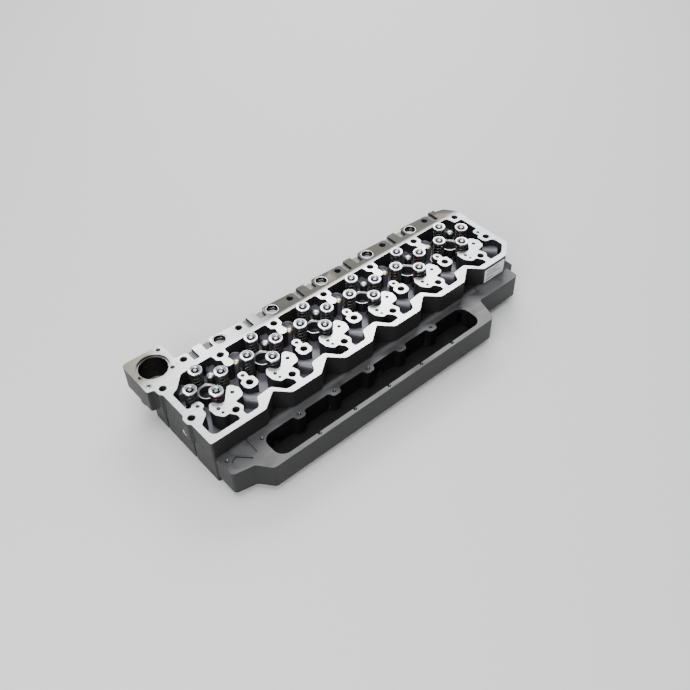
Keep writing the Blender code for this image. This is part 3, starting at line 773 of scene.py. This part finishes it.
def upright_bores():
    """Head-bolt holes, valve bowls and guide bores, the injector's stepped bore and the push-rod holes."""
    cutters = []
    for offset, y, count in BOLT_ROWS:
        for k in range(count):
            cutters.append(drilled("bolt_hole", along(k, offset), y, -PAST, DECK_Z, BOLT_RADIUS))
    for k in cylinders():
        x = along(k, CENTRE_X)
        # The valve bowls and push-rod holes take the near-black inner iron: painted shade.
        for kind, _, dx, dy in VALVES:
            head = VALVE_HEAD[kind]
            profile = [(0, FLOOR_Z + PAST), (GUIDE_RADIUS + 0.05, FLOOR_Z + PAST), (GUIDE_RADIUS + 0.05, 44),
                       (GUIDE_RADIUS + 4, 38), (head - 3.2, 16), (head - 3.2, 6.3), (head + 2.5, 6.3),
                       (head + 2.5, -PAST), (0, -PAST)]
            cutters.append(placed_turned("bowl", profile, x + dx, dy, FINISHES["inner"]))
        bore = placed_turned("injector_bore", INJECTOR_BORE, x, 0, sides=BIG_ROUND)
        cutters.append(two_tone(bore, "bore", "boss", (0, 0, -1)))
        for dx, y in PUSH_RODS:
            cutters.append(drilled("push_rod_hole", along(k, dx), y, -PAST, FLOOR_Z, PUSH_ROD_RADIUS, 0.8,
                                   "inner"))
    return cutters


def passages():
    """Intake and exhaust ports, the coolant gallery, the thermostat's bowl and the core holes."""
    cutters = []
    # The passages take the near-black inner iron: painted shade.
    inner = FINISHES["inner"]
    for k in cylinders():
        x, port = along(k, CENTRE_X), along(k, PORT_X)
        runs = (((x - VALVE_REACH, 0, 29), (along(k, 102), -74, 29), 10.5),
                ((along(k, 101), -71, 30), (along(k, 106), -131, 34), 8),
                ((port, EXHAUST_FACE_Y + PAST, PORT_Z), (port - 3, 50, PORT_Z), PORT_RADIUS),
                ((port - 3, 58, PORT_Z - 1), (x + VALVE_REACH, 0, PORT_Z - 1), EXHAUST_RUN_RADIUS),
                ((port - 2, 65, PORT_Z + 1), (x, VALVE_REACH, PORT_Z - 2), EXHAUST_RUN_RADIUS))
        cutters += [rod("port_run", start, end, radius, inner, ROUND) for start, end, radius in runs]
    x, y = along(0, THERMOSTAT[0]), THERMOSTAT[1]
    start = (along(0, 42), GALLERY_Y, GALLERY_Z)
    end = (along(CYLINDERS, 15) + PAST, GALLERY_Y, GALLERY_Z)
    elbow = (start[0] + 7, GALLERY_Y - 2, GALLERY_Z)
    mouth = (along(CYLINDERS, 5), GALLERY_Y, GALLERY_Z)
    cutters += [rod("gallery", start, end, 6.5, inner, ROUND),
                rod("gallery_elbow", (x, y, GALLERY_Z + 3), elbow, 6, inner),
                rod("gallery_end", mouth, end, 14.3, FINISHES["bore"], ROUND)]
    bowl = [(0, 46), (THERMOSTAT_RADIUS - 6, 46), (THERMOSTAT_RADIUS, 52), (THERMOSTAT_RADIUS, DECK_Z - 4),
            (THERMOSTAT_RADIUS + 3, DECK_Z - 4), (THERMOSTAT_RADIUS + 3, DECK_Z - 0.5),
            (THERMOSTAT_RADIUS + 3.5 + PAST, DECK_Z + PAST), (0, DECK_Z + PAST)]
    bore = placed_turned("thermostat_bore", bowl, x, y, sides=BIG_ROUND)
    two_tone(bore, "bowl", "deck", (0, 0, -1))
    cutters.append(bore)
    x, y = CORE_PLUG
    for k in inner_planes():
        radius = CORE_PLUG_RADIUS + 0.05
        cutters.append(drilled("core_hole", along(k, x), y, 84, DECK_Z, radius, 0.6, "bore", BIG_ROUND))
    return cutters


def screw_holes():
    """Tapped holes of the rocker pedestals, covers, plenum and manifolds, and the pedestals' dowel holes."""
    places = [(along(k, x), y) for k in cylinders() for x, y in ROCKER_SCREWS]
    places += [(along(k, 0), KEYHOLE_SCREW_Y) for k in inner_planes()]
    places += [(along(0, FRONT_SCREW[0]), FRONT_SCREW[1]), (along(CYLINDERS, -2), KEYHOLE_SCREW_Y)]
    cutters = [tapped("rocker_screw", x, y, DECK_Z, *ROCKER_THREAD) for x, y in places]
    x, y = DOWEL_HOLE
    cutters += [drilled("dowel_hole", along(k, x), y, DECK_Z - DOWEL_DEPTH, DECK_Z, DOWEL_RADIUS, 0.4)
                for k in cylinders()]
    cutters += [tapped("cover_screw", along(0, x), y, DECK_Z, *COVER_THREAD) for x, y in COVER_SCREWS]
    inner, outer = PLENUM_BOLT_ROWS
    plenum = [(along(0, PLENUM_BOLT_FIRST + i * PLENUM_BOLT_PITCH), inner) for i in range(PLENUM_BOLTS)]
    plenum += [(x, outer - 3) for x, _ in plenum[1:-1]] + [(along(0, LEDGE_SCREW[0]), LEDGE_SCREW[1])]
    cutters += [tapped("plenum_screw", x, y, LEDGE_Z, *PLENUM_THREAD) for x, y in plenum]
    for k in cylinders():
        for x, z in MANIFOLD_SCREWS:
            hole = tapped("manifold_screw", 0, 0, 0, *MANIFOLD_THREAD)
            turn = Matrix.Rotation(-QUARTER, 4, "X")
            hole.data.transform(Matrix.Translation((along(k, x) * MM, EXHAUST_FACE_Y * MM, z * MM)) @ turn)
            cutters.append(hole)
    return cutters


def plug_holes():
    """Holes for the socket plugs, a little deeper than the plugs."""
    cutters = []
    for outer, inner, radius in SOCKET_PLUGS.values():
        inward = (Vector(inner) - Vector(outer)).normalized()
        start, end = Vector(outer) - inward * PAST, Vector(inner) + inward * 4
        cutters.append(rod("plug_hole", start, end, radius + 0.15, FINISHES["bore"], ROUND))
    return cutters


def ledge_panels():
    """What is lower than the ledge's flange: the strip at the wall's foot, two front panels and the rear."""
    high = LEDGE_Z + PAST
    strip = bar("wall_strip", along(0, 58), along(CYLINDERS, -100), -117.5, WALL_Y + 4, LEDGE_Z - 1.5, high)
    front = [(19, -108, 1), (56, -108, 1), (56, -146, 2), (47, -148, 2), (20, -124, 2)]
    corner = [(11, -136, 2), (22, -130, 2), (44, -151, 2), (34, -160, 2), (6, -152, 4)]
    panels = [plate("front_panel", [shifted(outline, 0)], LEDGE_Z - 3, high) for outline in (front, corner)]
    rear = bar("rear_ledge", along(0, 621), along(CYLINDERS, 20), -190, WALL_Y + 4, LEDGE_Z - 2, high)
    # The panels' sides take the near-black inner iron: painted shade.
    return [two_tone(piece, "inner", "panel", (0, 0, -1)) for piece in (strip, *panels, rear)]


def head_casting():
    """The casting: its outside, its hollows, what stands in them, and then every hole."""
    casting = plate("head_iron", [lower_block_outline()], 0, LEDGE_Z - 4)
    two_tone(casting, "wall", "fire_face", (0, 0, -1))
    merge(casting, "UNION", outer_shapes())
    merge(casting, "DIFFERENCE", hollows())
    merge(casting, "UNION", inner_details())
    merge(casting, "DIFFERENCE",
          [*ledge_panels(), *upright_bores(), *passages(), *screw_holes(), *plug_holes()])
    smooth(casting, 30)
    finish_piece(casting, "head", "casting", "head_casting")


# The valve gear


def placed(name, mesh, x, y, finish, angle=32):
    """A copy of the mesh in the row frame, with the finish, at that place."""
    copy = mesh.copy()
    copy.transform(Matrix.Translation((x * MM, y * MM, 0)))
    return smooth(add_mesh(name, copy, FINISHES[finish]), angle)


def arc(centre_r, centre_z, radius, first, last, steps=5):
    """Points of a profile's arc, from the first angle to the last, in degrees."""
    turns = [math.radians(first + (last - first) * i / steps) for i in range(steps + 1)]
    return [(centre_r + radius * math.cos(turn), centre_z + radius * math.sin(turn)) for turn in turns]


def valve_profile(kind):
    """Poppet head, stem with its collet groove, and tip."""
    head = VALVE_HEAD[kind]
    tip = RETAINER_Z + 2.5
    return [(0, 1), (head - 0.5, 1), (head, 1.5), (head, 1.6), (head - 3.4, 5),
            (head - 6, 6.2), (head - 9, 9), (5.2, 14.5), (3.9, 21),
            (3.45, 28), (3.45, RETAINER_Z - 2.4), (3.0, RETAINER_Z - 2.0), (3.0, RETAINER_Z - 0.6),
            (3.45, RETAINER_Z - 0.2), (3.45, tip - 0.5), (2.9, tip), (0, tip)]


RETAINER = [(4.9, 109.6), (6.3, 109.6), (7.3, 110.4), (7.3, 114.6), (7.9, 115.45), (12.4, 115.45),
            (12.8, 115.85), (12.8, 117.5), (12.1, 118.3), (8.3, 118.3), (7.6, 117.9), (6.1, 116.0)]
COLLET = [(3.5, 110.0), (4.75, 110.0), (5.95, 115.7), (5.7, 116.1), (4.6, 116.1), (3.5, 115.7), (3.5, 115.1),
          (3.1, 114.8), (3.1, 113.7), (3.5, 113.4)]
GUIDE = [(3.6, 40.5), (4.6, 38), (5.75, 39), (5.75, 74.6), (5.2, 75.4), (3.9, 75.4), (3.6, 75.0)]
SEAL = [(3.62, 76.0), (5.95, 76.0), (5.95, 70.0), (6.6, 70.0), (6.6, 78.6), (5.9, 79.4), (5.2, 79.4),
        (5.0, 81.2), (4.5, 81.8), (3.9, 81.4), (3.62, 80.6)]
WASHER = [(6.9, 68.05), (12.9, 68.05), (13.1, 68.3), (13.1, 69.2), (12.9, 69.45), (7.1, 69.45), (6.9, 69.2)]


def seat_profile(kind):
    """The seat insert of that kind of valve."""
    head = VALVE_HEAD[kind]
    return [(head + 2.4, 0.4), (head + 2.4, 6.2), (head - 3.4, 6.2), (head - 3.4, 4.9), (head + 1.1, 0.4)]


def spring_mesh(turns, wire, radius, low, high):
    """A coil with a closed, ground turn at each end. Its wire's ends are capped."""
    sides, steps = 14, 34
    mesh = bpy.data.meshes.new("coil")
    shape = bmesh.new()
    count = int(turns * steps) + 1
    span = high - low - 2 * wire
    rise = [0.0]
    for i in range(1, count):
        turn = i / steps
        open_part = min(max(min(turn, turns - turn) - 0.7, 0) / 0.5, 1)
        rise.append(rise[-1] + 0.12 + open_part * open_part * (3 - 2 * open_part))
    rings = []
    for i in range(count):
        angle = 2 * math.pi * i / steps
        height = low + wire + span * rise[i] / rise[-1]
        ring = []
        for j in range(sides):
            way = 2 * math.pi * j / sides
            across = radius + wire * math.cos(way)
            up = min(max(height + wire * math.sin(way), low), high)
            place = (across * math.cos(angle) * MM, across * math.sin(angle) * MM, up * MM)
            ring.append(shape.verts.new(place))
        rings.append(ring)
    for here, following in zip(rings, rings[1:]):
        for j in range(sides):
            k = (j + 1) % sides
            shape.faces.new((here[j], here[k], following[k], following[j]))
    shape.faces.new(rings[0])
    shape.faces.new(reversed(rings[-1]))
    bmesh.ops.recalc_face_normals(shape, faces=shape.faces)
    shape.to_mesh(mesh)
    shape.free()
    return mesh


def valve_gear():
    """Each valve with its retainer and collets on the valve's body, and what stays still on the head."""
    chance = random.Random(4)
    seal, guide = turned_mesh("seal", SEAL, 36), turned_mesh("guide", GUIDE, 36)
    washer, retainer = turned_mesh("washer", WASHER, 56), turned_mesh("retainer", RETAINER, 64)
    collets = [turned_mesh("collet", COLLET, 18, math.radians(172), math.radians(4 + 180 * i))
               for i in range(2)]
    valves = {kind: turned_mesh("valve", valve_profile(kind), 48) for kind in VALVE_HEAD}
    seats = {kind: turned_mesh("seat", seat_profile(kind), 56) for kind in VALVE_HEAD}
    coil = spring_mesh(SPRING_TURNS, WIRE_RADIUS, SPRING_RADIUS, SPRING_LOW, SPRING_HIGH)
    for k in cylinders():
        for kind, place, dx, dy in VALVES:
            x, y = along(k, CENTRE_X) + dx, dy
            tag = f"{k + 1}_{place}"
            body = f"{kind}_valve_{tag}"
            finish_piece(placed(f"{kind}_poppet_{tag}", valves[kind], x, y, "stem"), body, "valve", body)
            finish_piece(placed(f"{kind}_retainer_{tag}", retainer, x, y, "retainer"), body, "valve")
            turn = chance.uniform(0, math.pi)
            for i, mesh in enumerate(collets):
                half = mesh.copy()
                half.transform(Matrix.Rotation(turn, 4, "Z"))
                finish_piece(placed(f"{kind}_collet_{tag}_{i}", half, x, y, "collet"), body, "valve")
            finish_piece(placed(f"{kind}_seat_{tag}", seats[kind], x, y, "seat"), "head", "casting")
            finish_piece(placed(f"{kind}_guide_{tag}", guide, x, y, "guide"), "head", "casting")
            finish_piece(placed(f"{kind}_seal_{tag}", seal, x, y, "seal"), "head", "casting")
            finish_piece(placed(f"{kind}_washer_{tag}", washer, x, y, "washer"), "head", "spring")
            wound = coil.copy()
            wound.transform(Matrix.Rotation(chance.uniform(0, 2 * math.pi), 4, "Z"))
            spring = placed(f"{kind}_coil_{tag}", wound, x, y, "spring", 50)
            finish_piece(spring, "head", "spring", f"{kind}_spring_{tag}")
            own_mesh(spring)


# Plugs and label


def core_plugs():
    """Cups pressed into the deck, open side up, and a larger one in the rear wall."""
    radius, top, floor, wall = CORE_PLUG_RADIUS, DECK_Z - 0.5, DECK_Z - 9, 1.5
    cup = [(0, floor + wall), (radius - wall - 2.2, floor + wall),
           *arc(radius - wall - 2.2, floor + wall + 2.2, 2.2, 270, 360), (radius - wall, top - 0.5),
           *arc(radius - wall / 2, top - 0.75, 0.75, 180, 0), (radius, floor + 2.5),
           *arc(radius - 2.5, floor + 2.5, 2.5, 0, -90), (0, floor)]
    mesh = turned_mesh("cup", cup, 64)
    for k in inner_planes():
        plug = placed(f"deck_core_plug_{k}", mesh, along(k, CORE_PLUG[0]), CORE_PLUG[1], "plug")
        plug.data.materials.append(FINISHES["cup"])
        for face in plug.data.polygons:
            x, y = face.center.x / MM - along(k, CORE_PLUG[0]), face.center.y / MM - CORE_PLUG[1]
            inside = math.hypot(x, y) < radius - wall / 2 and face.center.z < (top - 0.8) * MM
            face.material_index = 1 if inside else 0
        finish_piece(plug, "head", "plug", f"core_plug_{k}")
    rear = [(0, -3), (10.5, -3), *arc(10.5, -1, 2, 270, 360), (12.5, 3.6), *arc(13.25, 3.45, 0.75, 180, 0),
            (14, -3), *arc(12.5, -3, 1.5, 0, -90), (0, -4.5)]
    mesh = turned_mesh("rear_cup", rear, 64)
    mesh.transform(Matrix.Rotation(QUARTER, 4, "Y"))
    mesh.transform(Matrix.Translation((along(CYLINDERS, 10) * MM, GALLERY_Y * MM, GALLERY_Z * MM)))
    finish_piece(smooth(add_mesh("rear_wall_plug", mesh, FINISHES["plug"])), "head", "plug", "rear_core_plug")


def socket_plugs():
    """Screwed plugs, each with a chamfered rim and a hexagon socket."""
    for name, (outer, inner, radius) in SOCKET_PLUGS.items():
        inward = (Vector(inner) - Vector(outer)).normalized()
        depth = (Vector(inner) - Vector(outer)).length
        profile = [(0, -depth), (radius - 0.8, -depth), (radius, -depth + 0.8), (radius, 0.2),
                   (radius - 0.8, 1.0), (radius * 0.72, 1.0), (radius * 0.62, 0.4), (0, 0.4)]
        plug = add_mesh(f"{name}_body", turned_mesh(name, profile, 48), FINISHES["plug"])
        socket = upright("socket", 0, 0, -5, 3, radius * 0.55, FINISHES["bore"], 6)
        merge(plug, "DIFFERENCE", [socket])
        turn = Vector((0, 0, -1)).rotation_difference(inward).to_matrix().to_4x4()
        plug.data.transform(Matrix.Translation(Vector(outer) * MM) @ turn)
        finish_piece(smooth(plug), "head", "plug", name)


def label():
    """A plain stick-on label on the intake wall, with grey bars and no writing."""
    low_x, high_x = (along(0, x) for x in LABEL_X)
    low_z, high_z = LABEL_Z
    stand = Matrix.Rotation(QUARTER, 4, "X")
    place = Matrix.Translation((0, (WALL_Y - 0.05) * MM, 0))
    outline = box_outline(low_x, high_x, low_z, high_z, 1.5)
    sheet = plate("label_sheet", [outline], 0, 0.25, FINISHES["paper"])
    sheet.data.transform(place @ stand)
    finish_piece(sheet, "head", "casting")
    for i, (level, start, length) in enumerate(LABEL_BARS):
        left = low_x + start * (high_x - low_x)
        right = left + length * (high_x - low_x)
        bottom = low_z + level * (high_z - low_z)
        outline = box_outline(left, right, bottom, bottom + 2.2, 0.4)
        ink = plate(f"label_bar_{i}", [outline], 0.24, 0.34, FINISHES["ink"])
        ink.data.transform(place @ stand)
        finish_piece(ink, "head", "casting")


# The set


def area_light(name, place, target, size, energy):
    light = bpy.data.lights.new(name, "AREA")
    light.shape = "RECTANGLE"
    light.size, light.size_y = size
    light.energy = energy
    made = bpy.data.objects.new(name, light)
    bpy.context.scene.collection.objects.link(made)
    made.location = place
    made.rotation_euler = (Vector(target) - Vector(place)).to_track_quat("-Z", "Y").to_euler()


def studio():
    """A pale floor, soft lights and the world's backdrop."""
    floor = Finish("pale_floor", (0.93, 0.93, 0.92), 0.7)
    floor.vary_roughness(floor.noise(9, 3), 0.62, 0.8)
    mesh = bpy.data.meshes.new("floor")
    half, height = 6.0, -0.0005
    corners = ((-half, -half), (half, -half), (half, half), (-half, half))
    mesh.from_pydata([(*corner, height) for corner in corners], [], [(0, 1, 2, 3)])
    ground = add_mesh("studio_floor", mesh, floor.material)
    area_light("rear_softbox", (1.5, 1.7, 1.9), (0.0, 0.0, 0.1), (2.0, 1.2), 52)
    area_light("top_softbox", (-0.3, -0.2, 2.4), (0, 0, 0.05), (1.6, 1.6), 30)
    area_light("camera_side_softbox", (-2.0, -1.0, 1.3), (0, 0, 0.05), (1.0, 1.0), 27)
    world = bpy.data.worlds.new("studio")
    world.use_nodes = True
    back = world.node_tree.nodes["Background"]
    back.inputs["Color"].default_value = (0.80, 0.82, 0.85, 1)
    back.inputs["Strength"].default_value = 0.62
    bpy.context.scene.world = world


def camera():
    """The camera that matches the photo's view."""
    lens = bpy.data.cameras.new("camera")
    lens.lens = LENS
    lens.sensor_width = 36.0
    made = bpy.data.objects.new("camera", lens)
    bpy.context.scene.collection.objects.link(made)
    right, up = Vector(CAMERA_RIGHT), Vector(CAMERA_UP)
    turn = Matrix((right, up, right.cross(up))).transposed().to_4x4()
    made.matrix_world = Matrix.Translation(CAMERA_PLACE) @ turn
    bpy.context.scene.camera = made


head_casting()
valve_gear()
core_plugs()
socket_plugs()
label()
studio()
camera()
